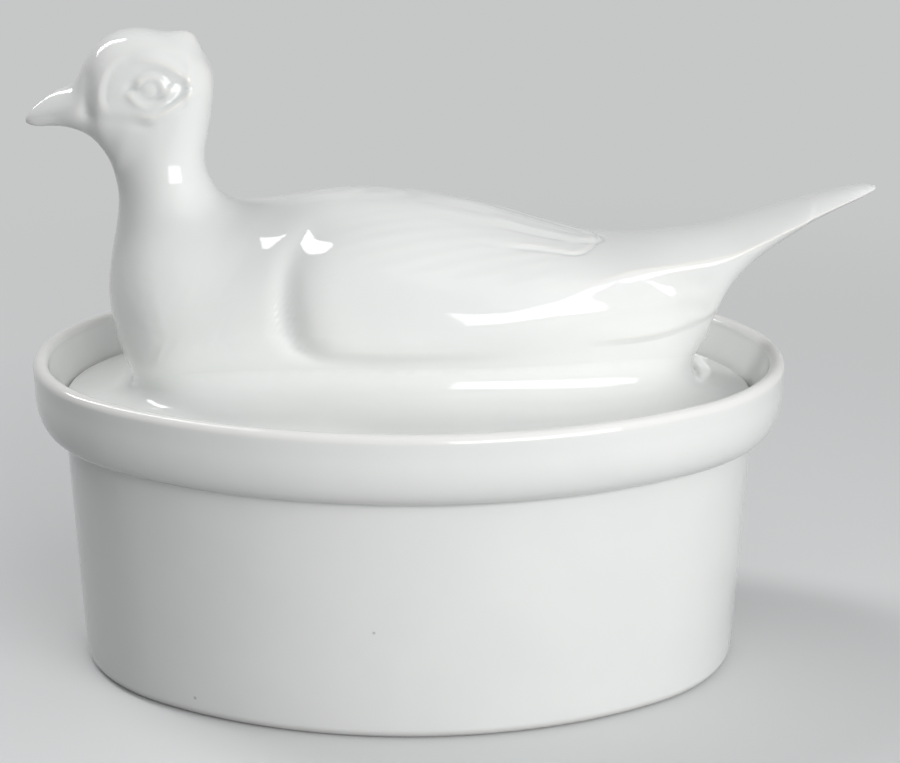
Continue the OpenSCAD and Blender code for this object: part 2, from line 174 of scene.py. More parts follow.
def dishProfile(shape):
    # the wall's section as distances out from the rim's edge and heights, from the middle of the underside
    # round the foot ring, up the wall, over the band and lip, and down the well to the floor
    height, ledge, wall = shape["height"], shape["ledge"], shape["wall"]
    bandZ = height - shape["bandHeight"]
    floorZ = shape["footHeight"] + shape["floor"]
    foot, ring, fillet = shape["footRounding"], shape["ringRounding"], shape["bandFillet"]
    lip, well = shape["lip"] / 2, shape["floorRounding"]

    def wallAt(z):
        # straight and leaning: -step - lean (1 - z / height of the band's foot)
        return -shape["bandStep"] - shape["wallLean"] * (1 - z / bandZ)

    tilt = math.degrees(math.atan(shape["wallLean"] / bandZ))
    footX = wallAt(foot) - foot / math.cos(math.radians(tilt))
    ringX = footX - shape["footRing"]
    bandX = wallAt(bandZ - fillet) + fillet
    floorX = wallAt(floorZ + well) - wall - well
    innerX = wallAt(ledge) - wall
    ledgeX = -shape["wellInset"] - shape["ledgeRounding"]
    swell = np.radians(np.linspace(86, 0, 30))
    power = 2 / shape["bandPower"]
    band = np.column_stack([
        bandX - (bandX + shape["bandFlare"]) * np.cos(swell) ** power,
        bandZ + shape["bandCurve"] * (1 - np.sin(swell) ** power),
    ])
    slopeX = ringX - shape["ringSlope"]
    return np.vstack([
        [[slopeX, shape["footHeight"]], [slopeX + 1, shape["footHeight"]]],
        arc(ringX, ring, ring, 150, 270, 5),
        arc(footX, foot, foot, -88, -tilt, 16),
        line(wallAt(foot), foot, wallAt(bandZ - fillet), bandZ - fillet, 14),
        arc(bandX, bandZ - fillet, fillet, 180 - tilt, 92, 8),
        band,
        line(-shape["bandFlare"], bandZ + shape["bandCurve"], 0, height - lip, 4),
        arc(-lip, height - lip, lip, 0, 180, 28),
        line(-2 * lip, height - lip, ledgeX + shape["ledgeRounding"] + shape["wellLean"], ledge + 3, 8),
        arc(ledgeX, ledge + shape["ledgeRounding"], shape["ledgeRounding"], 0, -90, 6),
        arc(innerX + shape["ledgeCorner"], ledge - shape["ledgeCorner"], shape["ledgeCorner"], 90, 180, 6),
        line(innerX, ledge - shape["ledgeCorner"], wallAt(floorZ + well) - wall, floorZ + well, 14),
        arc(floorX, floorZ + well, well, 0, -90, 18),
    ])


def makeDish(shape):
    # the section carried round the oval; its first and last points are drawn in to the middle to close it
    profile = dishProfile(shape)
    angle = np.linspace(0, 2 * np.pi, shape["around"], endpoint=False)
    x, y = ovalPoint(-profile[:, :1], angle[None, :])
    rings = np.stack([x, y, np.broadcast_to(profile[:, 1:], x.shape)], -1)
    share = np.array([0, 0.35, 0.7])[:, None, None]
    drawnIn = np.concatenate([share, share, share * 0 + 1], axis=-1)
    grid = np.concatenate([rings[:1] * drawnIn, rings, rings[-1:] * drawnIn[::-1]])
    faces = gridFaces(len(grid), shape["around"], True)
    inside = np.arange(len(grid))[:, None] > len(grid) / 2
    onLedge = inside & (np.abs(grid[..., 2] - shape["ledge"]) < touching)
    bare = (grid[..., 2] < shape["bareFoot"]) | onLedge
    # the glaze depth also marks the dish's hollows, where the material paints shade
    attributes = {"glazeDepthAndHollowShade": glazeAndHollowShadeOn(grid, -1), "bareClay": bare}
    return makePiece("dish_body", grid.reshape(-1, 3), faces, attributes)


dish = makeDish(dishShape)

# The bird's cross-sections, from the tip of the beak to the tip of the tail: top point x, z; bottom point
# x, z; half width; how high up the widest place is; roundness of the upper and of the lower half (2 is an
# ellipse); and how far the upper half is a flat blade with a crisp edge, as on the tail. Heights are above
# the lid's edge.
birdSections = np.array([
    [-144.6, 106, -144.4, 103.9, 0.9, 0.5, 2, 2, 0],
    [-142, 109.4, -140.5, 102.6, 2.9, 0.45, 1.7, 2, 0],
    [-134, 115.4, -133, 102.7, 6.1, 0.45, 1.5, 1.8, 0],
    [-126, 119.4, -125.5, 101.4, 9.7, 0.48, 1.7, 1.9, 0],
    [-122.2, 126.2, -119.8, 98.4, 11.8, 0.5, 1.9, 2, 0],
    [-114.5, 135.8, -115.8, 94, 15.8, 0.55, 2.2, 2, 0],
    [-103.4, 139.6, -113, 89, 17.5, 0.6, 2.2, 2, 0],
    [-92, 137.8, -111.8, 85.3, 18, 0.58, 2.6, 2, 0],
    [-81, 132.4, -111.4, 83.6, 17.9, 0.55, 3.1, 2, 0],
    [-74.3, 125, -111.1, 82, 17.5, 0.52, 3, 2, 0],
    [-73.6, 114, -110.8, 80, 17, 0.5, 2.4, 2, 0],
    [-75.9, 100, -110.4, 77, 17.1, 0.5, 2, 2, 0],
    [-77.4, 89.5, -110.6, 71.5, 19, 0.5, 2, 2, 0],
    [-75, 81.6, -112, 62.5, 24, 0.47, 2, 2, 0],
    [-71.5, 76.5, -114.4, 49, 31.5, 0.45, 2, 2, 0],
    [-67, 74.2, -114.7, 35, 38, 0.43, 2, 2, 0],
    [-62, 73.4, -111.9, 21.5, 42.5, 0.42, 2, 2, 0],
    [-55, 73.8, -107.5, 9.5, 45.5, 0.42, 2, 2, 0],
    [-45, 75.2, -99, 1.5, 48, 0.43, 2, 2, 0],
    [-29, 77.8, -74, -1, 50.5, 0.44, 2.1, 2, 0],
    [-6, 77.9, -34, -1, 52.3, 0.46, 2.2, 2, 0],
    [20, 74, 12, -1, 52.4, 0.48, 2.2, 2, 0],
    [44, 67.3, 54, -0.5, 49.3, 0.64, 2.2, 2.1, 0],
    [65, 61.7, 86, 1.5, 42.5, 0.82, 2.2, 2.2, 0.4],
    [80, 60.6, 102.5, 6.5, 35.8, 0.88, 2.1, 2.3, 0.9],
    [93, 61, 111, 15, 30, 0.865, 2, 2.1, 1],
    [112, 63.6, 115.5, 24.5, 26.3, 0.82, 2, 2.2, 0.9],
    [128, 67.7, 121.4, 40.2, 24.7, 0.73, 2, 2, 0.85],
    [145, 73.1, 137, 56.3, 22, 0.65, 1.9, 1.7, 0.8],
    [160, 77.5, 157, 68.9, 16, 0.52, 1.9, 1.7, 0.75],
    [171, 79.9, 170, 74.9, 10.5, 0.5, 1.9, 1.8, 0.6],
    [177.2, 79.9, 177, 78, 3, 0.5, 2, 2, 0.4],
])
birdShape = {
    "rowsPerSection": [8] * 4 + [24] * 6 + [12] * 7,  # finest over the face
    "baseRear": 25, "baseRows": 150, "bunching": 0.85, "tailRows": 12, "across": 76,
    "baseFrontZ": 9.5, "baseSideZ": 20.5, "baseRearZ": 15,
    "fullClosing": 70, "headBunching": -0.35, "bodyBunching": 0.5, "bunchingChange": (16, 11),
    "flankStart": 12,
}


def birdRows(shape):
    # places u along the sections: even steps over head and neck, then bunched by a cosine at both ends of the
    # stretch that the lid cuts off, then even steps along the tail
    steps = np.array(shape["rowsPerSection"])
    head = np.repeat(np.arange(len(steps)), steps) + np.concatenate([np.arange(n) / n for n in steps])
    front, rear, last = len(steps), shape["baseRear"], len(birdSections) - 1
    share = np.linspace(0, 1, shape["baseRows"] + 1)
    bunched = shape["bunching"] * (1 - np.cos(np.pi * share)) / 2 + (1 - shape["bunching"]) * share
    tail = np.linspace(rear, last, (last - rear) * shape["tailRows"] + 1)[1:]
    return np.concatenate([head, front + (rear - front) * bunched, tail]), len(head)


def birdSurface(u, j, shape):
    # half of the bird, u along and j from the back's line (0) down the flank (1). Each section is y = width x
    # cos^(2/roundness), rise = sin^(2/roundness), mixed on the tail with the blade y = q, rise = 1 - qq, and
    # is cut off where it meets the lid. The second array is the direction in which feathers stand out.
    s = smoothCurve(birdSections, u)
    topX, topZ, bottomX, bottomZ, width, widest, upper, lower, blade = (s[:, i:i + 1] for i in range(9))
    front, rear = len(shape["rowsPerSection"]), shape["baseRear"]
    along = 2 * (u[:, None] - front) / (rear - front) - 1
    endZ = np.where(along < 0, shape["baseFrontZ"], shape["baseRearZ"])
    lidLine = shape["baseSideZ"] - (shape["baseSideZ"] - endZ) * np.abs(along) ** 3
    cut = np.where(np.abs(along) < 1, np.maximum(bottomZ, lidLine), bottomZ)
    deep = np.clip(1 - (cut - bottomZ) / (topZ - bottomZ) / widest, 0, 1)
    lost = 90 - np.degrees(np.arcsin(deep ** (lower / 2)))
    below = np.maximum(0, 2 * j - 1)
    a = np.radians(90 - 180 * j + lost * below ** np.minimum(3, shape["fullClosing"] / (lost + 1)))
    power = np.where(a > 0, 2 / upper, 2 / lower)
    side = np.maximum(np.cos(a), 0)
    y = side ** power
    rise = np.abs(np.sin(a)) ** power
    flat = np.where(a > 0, np.clip(blade, 0, 1), 0)
    q = 1 - a / (np.pi / 2)
    y = width * (y + flat * (q - y))
    rise = rise + flat * (1 - q * q - rise)
    share = np.where(a > 0, widest + (1 - widest) * rise, widest * (1 - rise))
    y[:, 0] = 0
    y[deep[:, 0] > 0.9999, -1] = 0
    points = np.stack([bottomX + share * (topX - bottomX), y, bottomZ + share * (topZ - bottomZ)], -1)
    tall = np.hypot(topX - bottomX, topZ - bottomZ)
    up = np.sin(a) / tall
    outward = np.stack([up * (topX - bottomX), side, up * (topZ - bottomZ)], -1)
    return points, outward


# the folded wing: a rounded front corner that stands proud of the breast behind a crease
wing = {
    "x": -10, "z": 47, "reachX": 35.5, "reachZ": 29, "power": 2.5,
    "relief": 4.8, "round": 7, "crease": 1.6, "creaseWidth": 3.6, "creaseFade": (22, -32),
    "rearFade": (70, -10), "topFade": (78, 68), "footFade": (20.5, 29.5),
    "bulge": 2, "bulgeX": 36, "bulgeWidth": 30, "bulgeFade": (24, 40, 64, 52),
}


def wingRelief(x, z):
    # inside = reach (1 - (dx^p + dz^p)^(1/p)) within the outline; relief (1 - bell(inside)) - crease
    # bell(inside), plus a wide bell of a bulge where the folded wing is fullest
    dx = np.maximum(0, wing["x"] - x) / wing["reachX"]
    dz = np.abs(z - wing["z"]) / wing["reachZ"]
    inside = wing["reachZ"] * (1 - (dx ** wing["power"] + dz ** wing["power"]) ** (1 / wing["power"]))
    fade = ease(x, *wing["rearFade"]) * ease(z, *wing["topFade"]) * ease(z, *wing["footFade"])
    raised = np.where(inside > 0, wing["relief"] * (1 - bell(inside, wing["round"])), 0)
    crease = wing["crease"] * ease(x, *wing["creaseFade"]) * bell(inside, wing["creaseWidth"])
    low0, low1, high1, high0 = wing["bulgeFade"]
    bulge = wing["bulge"] * bell(x - wing["bulgeX"], wing["bulgeWidth"])
    bulge = bulge * ease(z, low0, low1) * ease(z, high1, high0)
    return fade * (raised - crease) + bulge


# Folded feathers lie in tiers, each a tongue about the middle of the back: degrees down from the middle,
# where the tip begins, tip x, step height, and the stretch over which the step comes in. Long barbs run
# along them.
feathers = {
    "axis": 35, "power": 2.2, "narrowing": 0.65, "edge": 1.1, "groove": 0.6, "grooveWidth": 1,
    "tiers": [
        (12, -34, -16, 0.4, (-52, -30)), (14, -22, 0, 0.4, (-40, -18)), (9, 18, 37, 0.4, (0, 22)),
        (7, 50, 65, 0.6, (-5, 40)), (26, 58, 73, 0.9, (-5, 40)), (46, 60, 71, 0.75, (20, 46)),
        (66, 34, 64, 0.15, (10, 45)),
    ],
    "barb": 0.11, "barbAngle": 7.3, "barbLean": 0.045,
    "rearFade": (102, 76), "footFade": (40, 50), "barbFront": (-34, -12), "barbRear": (66, 40),
    "barbTop": (4, 20), "barbFoot": (82, 60),
}


def featherRelief(x, y, z):
    # each tier lies a step above the next one: step x (ease over one edge's width of
    # (1 - (dx^p + across^p)^(1/p)) - half), with a bell of a groove along its foot. The barbs are
    # barb cos(2 pi (around / angle + lean x))
    around = 90 - np.degrees(np.arctan2(z - feathers["axis"], y))
    power, edge = feathers["power"], feathers["edge"]
    total = 0
    for reach, start, tip, step, stretch in feathers["tiers"]:
        dx = np.maximum(0, x - start) / (tip - start)
        across = np.maximum(0, around) / reach
        inside = (1 - (dx ** power + across ** power) ** (1 / power)) * reach * feathers["narrowing"]
        raised = step * (ease(inside, -edge / 2, edge / 2) - 0.5)
        groove = feathers["groove"] * step * bell(inside + edge / 2, feathers["grooveWidth"])
        total = total + (raised - groove) * ease(x, *stretch)
    barbs = feathers["barb"] * np.cos(2 * np.pi * (around / feathers["barbAngle"] + feathers["barbLean"] * x))
    barbs = barbs * ease(x, *feathers["barbFront"]) * ease(x, *feathers["barbRear"])
    barbs = barbs * ease(around, *feathers["barbTop"]) * ease(around, *feathers["barbFoot"])
    return (total + barbs) * ease(x, *feathers["rearFade"]) * ease(z, *feathers["footFade"])


# two shallow channels along the flank under the tail's edge, and the lower flank drawn in below a soft step
rump = {
    "channels": [(48, 3.6, 0.9), (37.5, 4, 0.7)], "channelEnd": (116, 108),
    "stepZ": 28.5, "stepEdge": 3.5, "depth": 1.5, "turnStart": 78, "turnLength": 38, "turnUp": 6,
    "frontFade": (60, 85),
}


def rumpRelief(x, z):
    # minus the channels' bells in z, and minus depth below z = stepZ + turnUp t^3
    channels = 0
    for height, width, depth in rump["channels"]:
        channels = channels + depth * bell(z - height, width)
    edge = rump["stepZ"] + rump["turnUp"] * np.maximum(0, (x - rump["turnStart"]) / rump["turnLength"]) ** 3
    step = rump["depth"] * ease(edge - z, -rump["stepEdge"] / 2, rump["stepEdge"] / 2)
    return -ease(x, *rump["frontFade"]) * (channels * ease(x, *rump["channelEnd"]) + step)


# the head: an eye between its lids, the almond patch round it, the face disc, jaw, nape and root of the beak
face = {
    "eyeX": -95.6, "eyeZ": 119.3, "ball": 0.5, "ballRadius": 2.6, "ballStretch": 1.1,
    "lidWidth": 1.6, "lidCrease": 0.1, "lidCreaseRadius": 3, "lidCreaseWidth": 0.9,
    "upperLid": 0.75, "upperRadius": 4.4, "upperSlope": 0.35, "upperFade": (-2, 1.5),
    "lowerLid": 0.8, "lowerRadius": 6.4, "lowerStretch": 1.2, "lowerSlope": 0.15, "lowerFade": (-1, 1.5),
    "socketX": -102, "socketZ": 119.5, "socketRadius": 2.8, "socketDepth": 0.7,
    "almondX": -97, "almondZ": 119.7, "almondLength": 21, "almondHeight": 10.4, "almondPower": 1.3,
    "almondRidge": 1.1, "almondWidth": 2.3, "almondFront": (-104, -95), "almondEnd": (0.95, 0.7),
    "almondHollow": 0.2, "almondHollowEdge": 2,
    "discX": -97, "discZ": 117, "discRadius": 18.2, "discRear": 0.62, "discDepth": 1, "discEdge": 4,
    "discFoot": (108, 116),
    "jawX": -98, "jawZ": 106.3, "jawSlope": 0.1, "jawDepth": 0.5, "jawWidth": 2.5,
    "jawFront": (-121, -117), "jawRear": (-92, -100),
    "napeX": -80.8, "napeHeight": 0.8, "napeWidth": 1.8, "napeFoot": (108, 118), "napeTop": (137, 132),
    "beakRootX": -119.6, "beakRootDepth": 1.3, "beakRootWidth": 2.6,
    "beakRootFoot": (104, 110), "beakRootTop": (129, 122),
}


def faceRelief(x, z):
    # sums of bells of the distance from points, from circles round the eye and from curves, for the ball,
    # the lids, the almond's rim height x cos^p, the disc's edge, the jaw, the nape's edge and the beak's root
    ex, ez = x - face["eyeX"], z - face["eyeZ"]
    r = np.hypot(ex / face["ballStretch"], ez)
    ball = face["ball"] * bell(r, face["ballRadius"])
    ball = ball - face["lidCrease"] * bell(r - face["lidCreaseRadius"], face["lidCreaseWidth"])
    upper = face["upperLid"] * bell(r - face["upperRadius"], face["lidWidth"])
    upper = upper * ease(ez + face["upperSlope"] * ex, *face["upperFade"])
    low = np.hypot(ex / face["lowerStretch"], ez)
    lower = face["lowerLid"] * bell(low - face["lowerRadius"], face["lidWidth"])
    lower = lower * ease(face["lowerSlope"] * ex - ez, *face["lowerFade"])
    d = np.hypot(x - face["socketX"], z - face["socketZ"])
    socket = -face["socketDepth"] * bell(d, face["socketRadius"])
    t = np.minimum(1, np.abs(x - face["almondX"]) / face["almondLength"])
    rim = face["almondHeight"] * np.cos(np.pi / 2 * t) ** face["almondPower"]
    within = rim - np.abs(z - face["almondZ"])
    patch = face["almondRidge"] * bell(within, face["almondWidth"])
    patch = patch - face["almondHollow"] * ease(within, 0, face["almondHollowEdge"])
    patch = patch * ease(x, *face["almondFront"]) * ease(t, *face["almondEnd"])
    across = x - face["discX"]
    d = np.hypot(np.where(across > 0, across * face["discRear"], across), z - face["discZ"])
    disc = -face["discDepth"] * ease(face["discRadius"] - d, 0, face["discEdge"]) * ease(z, *face["discFoot"])
    jawLine = z - face["jawZ"] + face["jawSlope"] * (x - face["jawX"])
    jaw = -face["jawDepth"] * bell(jawLine, face["jawWidth"])
    jaw = jaw * ease(x, *face["jawFront"]) * ease(x, *face["jawRear"])
    nape = face["napeHeight"] * bell(x - face["napeX"], face["napeWidth"])
    nape = nape * ease(z, *face["napeFoot"]) * ease(z, *face["napeTop"])
    groove = -face["beakRootDepth"] * bell(x - face["beakRootX"], face["beakRootWidth"])
    groove = groove * ease(z, *face["beakRootFoot"]) * ease(z, *face["beakRootTop"])
    return ball + upper + lower + socket + patch + disc + jaw + nape + groove


# soft overlapping scale feathers on the breast and on the wing's shoulder
scales = {
    "across": 7.2, "down": 6.4, "lean": 0.35, "depth": 0.16, "wander": 0.33, "wanderWaves": (2.3, 1.9),
    "uneven": 0.5, "unevenWaves": (1.3, 0.9),
    "breastX": (-56, -68), "breastZ": (16, 24, 66, 52), "breastShare": 0.45,
    "shoulderX": (-40, -34, -8, -22), "shoulderZ": (26, 34, 64, 56),
}


def scaleRelief(x, z):
    # depth x cos(2 pi u) cos(pi v), with u and v the slanting counts of scales. Slow waves make the scales
    # wander and some of them deeper
    u = (x + scales["lean"] * z) / scales["across"]
    v = (z - scales["lean"] * x) / scales["down"]
    waveU, waveV = scales["wanderWaves"]
    u, v = u + scales["wander"] * np.sin(waveU * v + 1), v + scales["wander"] * np.sin(waveV * u)
    slowU, slowV = scales["unevenWaves"]
    uneven = 1 + scales["uneven"] * np.sin(slowU * u - slowV * v)
    dimples = scales["depth"] * np.cos(2 * np.pi * u) * np.cos(np.pi * v) * uneven
    z0, z1, z2, z3 = scales["breastZ"]
    breast = ease(x, *scales["breastX"]) * ease(z, z0, z1) * ease(z, z2, z3)
    x0, x1, x2, x3 = scales["shoulderX"]
    z0, z1, z2, z3 = scales["shoulderZ"]
    shoulder = ease(x, x0, x1) * ease(x, x2, x3) * ease(z, z0, z1) * ease(z, z2, z3)
    return dimples * (scales["breastShare"] * breast + shoulder)


crest = {"x": -83, "z": 136, "height": 5, "spread": 6.7, "width": 7, "lean": (0.55, 0, 0.83)}


def birdHalf(shape):
    # the sections, with the crest drawn up and back along the head, the feathers raised outwards, and the
    # flank's carving pushed straight out sideways. Points are bunched by j + k sin(4 pi j) / (4 pi): round
    # the eye on the head, and over the feathers and the wing's lower edge on the body
    u, headRows = birdRows(shape)
    onHead = ease(u[:, None], *shape["bunchingChange"])
    dense = shape["bodyBunching"] + (shape["headBunching"] - shape["bodyBunching"]) * onHead
    j = np.linspace(0, 1, shape["across"] + 1)[None, :]
    p, outward = birdSurface(u, j + dense * np.sin(4 * np.pi * j) / (4 * np.pi), shape)
    x, y, z = p[..., 0], p[..., 1], p[..., 2]
    fromCrest = np.hypot(x - crest["x"], z - crest["z"])
    tuft = crest["height"] * bell(fromCrest, crest["spread"]) * bell(y, crest["width"])
    flank = wingRelief(x, z) + faceRelief(x, z) + scaleRelief(x, z) + rumpRelief(x, z)
    moved = p + featherRelief(x, y, z)[..., None] * outward + tuft[..., None] * crest["lean"]
    moved[..., 1] += ease(y, 0, shape["flankStart"]) * flank * outward[..., 1]
    moved[:, 0, 1] = 0
    moved[p[:, -1, 1] < 1e-9, -1, 1] = 0
    return moved, headRows


# the lid's plate: a fillet at the bird's foot, a sweep out to the edge, and the hollow inside the bird
lidShape = {
    "ledge": lidLow[2], "inset": 12, "edge": 3.5, "edgeRounding": 1.2, "seat": 7, "seatRise": 0.2,
    "wall": 5, "wallSlack": 1.1, "tuck": 3, "turn": 0.3,
    "sideRise": 9, "rearRise": 6, "frontRise": 1.5, "frontPower": 1.5, "slenderness": 2.3,
    "filletRows": 9, "sweepRows": 12, "hollowRows": 28, "hollowRoundness": 2.2,
}
# the hollow's levels above the lid's edge: height, front x, rear x, half width
hollowLevels = np.array([
    [20, -104.5, 105.5, 41.5],
    [36, -109, 106, 44.5],
    [48, -108.5, 98, 43.5],
    [57, -107.5, 72, 38],
    [64, -106, 40, 28.5],
    [67.5, -105, 0, 16.5],
    [69.5, -105, -64, 12.5],
    [74, -105, -77, 11],
    [82, -105.4, -82.5, 11],
    [92, -107, -82.5, 11],
    [104, -111.5, -80, 11.5],
    [116, -114, -79, 12],
    [126, -111, -82, 11],
    [131, -105, -89, 7],
])


def lidPlate(starts, shape):
    # rows of points for half the lid, from the bird's foot outwards: a fillet (1-t)^2 foot + 2t(1-t) bend +
    # tt landing, the sweep with height rise (1-t)^2, round the edge to the seat, in under the plate, and up
    # the hollow, whose levels are x = half length cos^(2/roundness), y = half width sin^(2/roundness)
    lidZ = shape["ledge"] + shape["edge"]
    middle = (starts[0, 0] + starts[-1, 0]) / 2
    a = np.arctan2(starts[:, 1] * shape["slenderness"], starts[:, 0] - middle)
    side = np.abs(np.sin(a))
    frontRise = shape["frontRise"] + (shape["sideRise"] - shape["frontRise"]) * side ** shape["frontPower"]
    rearRise = shape["rearRise"] + (shape["sideRise"] - shape["rearRise"]) * side
    rise = np.where(np.cos(a) < 0, frontRise, rearRise)
    r = shape["edgeRounding"]
    rim = np.stack(ovalPoint(shape["inset"] + r, a), -1)
    out = rim - starts[:, :2]
    length = np.linalg.norm(out, axis=1, keepdims=True)
    corner = starts[:, :2] - shape["tuck"] / length * out

    def sweep(t):
        return np.column_stack([corner + t * (rim - corner), lidZ + rise * (1 - t) ** 2])

    def level(inset, height):
        # one row round the oval at a distance inside the rim and a height over the ledge
        return np.column_stack([*ovalPoint(inset, a), shape["ledge"] + height + 0 * a])

    bend = np.column_stack([corner, lidZ + rise])
    landing = sweep(shape["turn"])
    rows = [starts]
    rows += [(1 - t) ** 2 * starts + 2 * t * (1 - t) * bend + t * t * landing
             for t in np.linspace(0, 1, shape["filletRows"] + 1)[1:]]
    rows += [sweep(t) for t in np.linspace(shape["turn"], 1, shape["sweepRows"] + 1)[1:]]
    edge = np.vstack([arc(r, shape["edge"] - r, r, 90, 180, 5)[1:], arc(r, r, r, 180, 270, 5)])
    rows += [level(shape["inset"] + inset, height) for inset, height in edge]
    seat = level(shape["inset"] + r + shape["seat"], 0)[:, :2]
    inner = starts[:, :2] - (shape["tuck"] + shape["wallSlack"] * shape["wall"]) / length * out
    underside = lidZ + rise - shape["wall"] - shape["ledge"]
    for t in np.linspace(0, 1, 6):
        height = shape["ledge"] + np.maximum(shape["seatRise"] * t, underside * t * t)
        rows.append(np.column_stack([seat + t * (inner - seat), height]))
    levels = np.linspace(0, len(hollowLevels) - 1, shape["hollowRows"])
    power = 2 / shape["hollowRoundness"]
    for height, front, rear, half in smoothCurve(hollowLevels, levels):
        c, s = np.cos(a), np.abs(np.sin(a))
        hollowX = (front + rear) / 2 + (rear - front) / 2 * np.sign(c) * np.abs(c) ** power
        rows.append(np.column_stack([hollowX, half * s ** power, lidZ + height + 0 * a]))
    top = rows[-1].mean(axis=0)
    rows.append(np.column_stack([top[0] + 0 * a, 0 * a, top[2] + 1 + 0 * a]))
    return np.array(rows)


def makeLid(shape, bird):
    # both halves of the bird and of the plate as two grids whose shared edge is the bird's foot
    half, headRows = birdHalf(bird)
    half = half + [0, 0, shape["ledge"] + shape["edge"]]
    mirror = np.array([1, -1, 1])
    skin = np.concatenate([(half[:, ::-1] * mirror)[:, :-1], half], axis=1)
    beakTip, tailTip = (np.broadcast_to(skin[i].mean(axis=0), (1,) + skin[0].shape) for i in (0, -1))
    skin = np.concatenate([beakTip, skin, tailTip])
    starts = half[headRows:headRows + bird["baseRows"] + 1, -1]
    column = lidPlate(starts, shape)
    plate = np.concatenate([column, column[:, -2:0:-1] * mirror], axis=1)
    points = np.concatenate([skin.reshape(-1, 3), plate.reshape(-1, 3)])
    faces = np.concatenate([
        gridFaces(len(skin), skin.shape[1], False),
        gridFaces(len(plate), plate.shape[1], True, offset=skin.shape[0] * skin.shape[1]),
    ])
    # the glaze depth also marks the bird's and plate's hollows and creases, where the material paints shade
    glaze = np.concatenate([glazeAndHollowShadeOn(skin, 1).ravel(), glazeAndHollowShadeOn(plate, -1).ravel()])
    bare = points[:, 2] < shape["ledge"] + touching
    return makePiece("lid_bird", points, faces, {"glazeDepthAndHollowShade": glaze, "bareClay": bare})


lid = makeLid(lidShape, birdShape)
for piece, node in ((dish, "dish"), (lid, "lid")):
    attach(piece, "root")
    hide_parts(node)


def toLinear(code):
    # an sRGB hex colour as linear red, green and blue, with alpha 1: ((c + 0.055) / 1.055) ^ 2.4
    parts = [int(code[i:i + 2], 16) / 255 for i in (1, 3, 5)]
    return [p / 12.92 if p <= 0.04045 else ((p + 0.055) / 1.055) ** 2.4 for p in parts] + [1]


def addNode(tree, kind, settings=None, inputs=None):
    # adds a node, sets its properties, and fills its inputs with values or with other nodes' outputs
    node = tree.nodes.new(kind)
    for key, value in (settings or {}).items():
        setattr(node, key, value)
    for key, value in (inputs or {}).items():
        if isinstance(value, bpy.types.NodeSocket):
            tree.links.new(value, node.inputs[key])
        else:
            node.inputs[key].default_value = value
    return node


# Hard-paste porcelain, slip cast, dipped in clear glaze and fired glossy. It gives a cool white that is
# almost mirror-smooth, a little greener where the glaze pooled and warmer where it ran thin, with a few pale
# grey specks from the kiln, and a matt cream foot and seat where the glaze was wiped off. The pooled colour
# is also darker, and so paints shade into hollows and creases.
porcelain = {
    # the pooled colour is greener glaze and also darker: painted shade in hollows and creases
    "white": "#eeefed", "thin": "#f0efeb", "pooledGlazeAndShade": "#d8dcda", "bisque": "#ddd6c8", "speck": "#cac9c5",
    "cloud": "#ebedeb", "cloudSize": 0.045, "cloudFrom": 0.4, "cloudTo": 0.7,
    "thinFrom": 0.45, "thinTo": 0.05, "poolAndShadeFrom": 0.55, "poolAndShadeTo": 1, "wornFrom": 0.4, "wornTo": 0.8,
    "roughness": 0.045, "wornRoughness": 0.08, "bisqueRoughness": 0.62, "ior": 1.52,
    "wobbleSize": 0.014, "wobble": 0.00012, "peelSize": 0.0022, "peel": 0.000006,
    "translucent": 0.12, "translucentDepth": 0.0025,
    # place and radius of each speck in metres, and the share of the radius that is evenly grey
    "speckCore": 0.35,
    "specks": [
        (-0.0125, -0.0982, 0.0428, 0.0008), (-0.0793, -0.0757, 0.0078, 0.0009),
        (0.0377, -0.0508, 0.1142, 0.0006), (0.0668, -0.0316, 0.1611, 0.0006),
        (0.0921, 0.0655, 0.0552, 0.0007), (-0.0405, 0.0375, 0.1432, 0.0005),
    ],
}


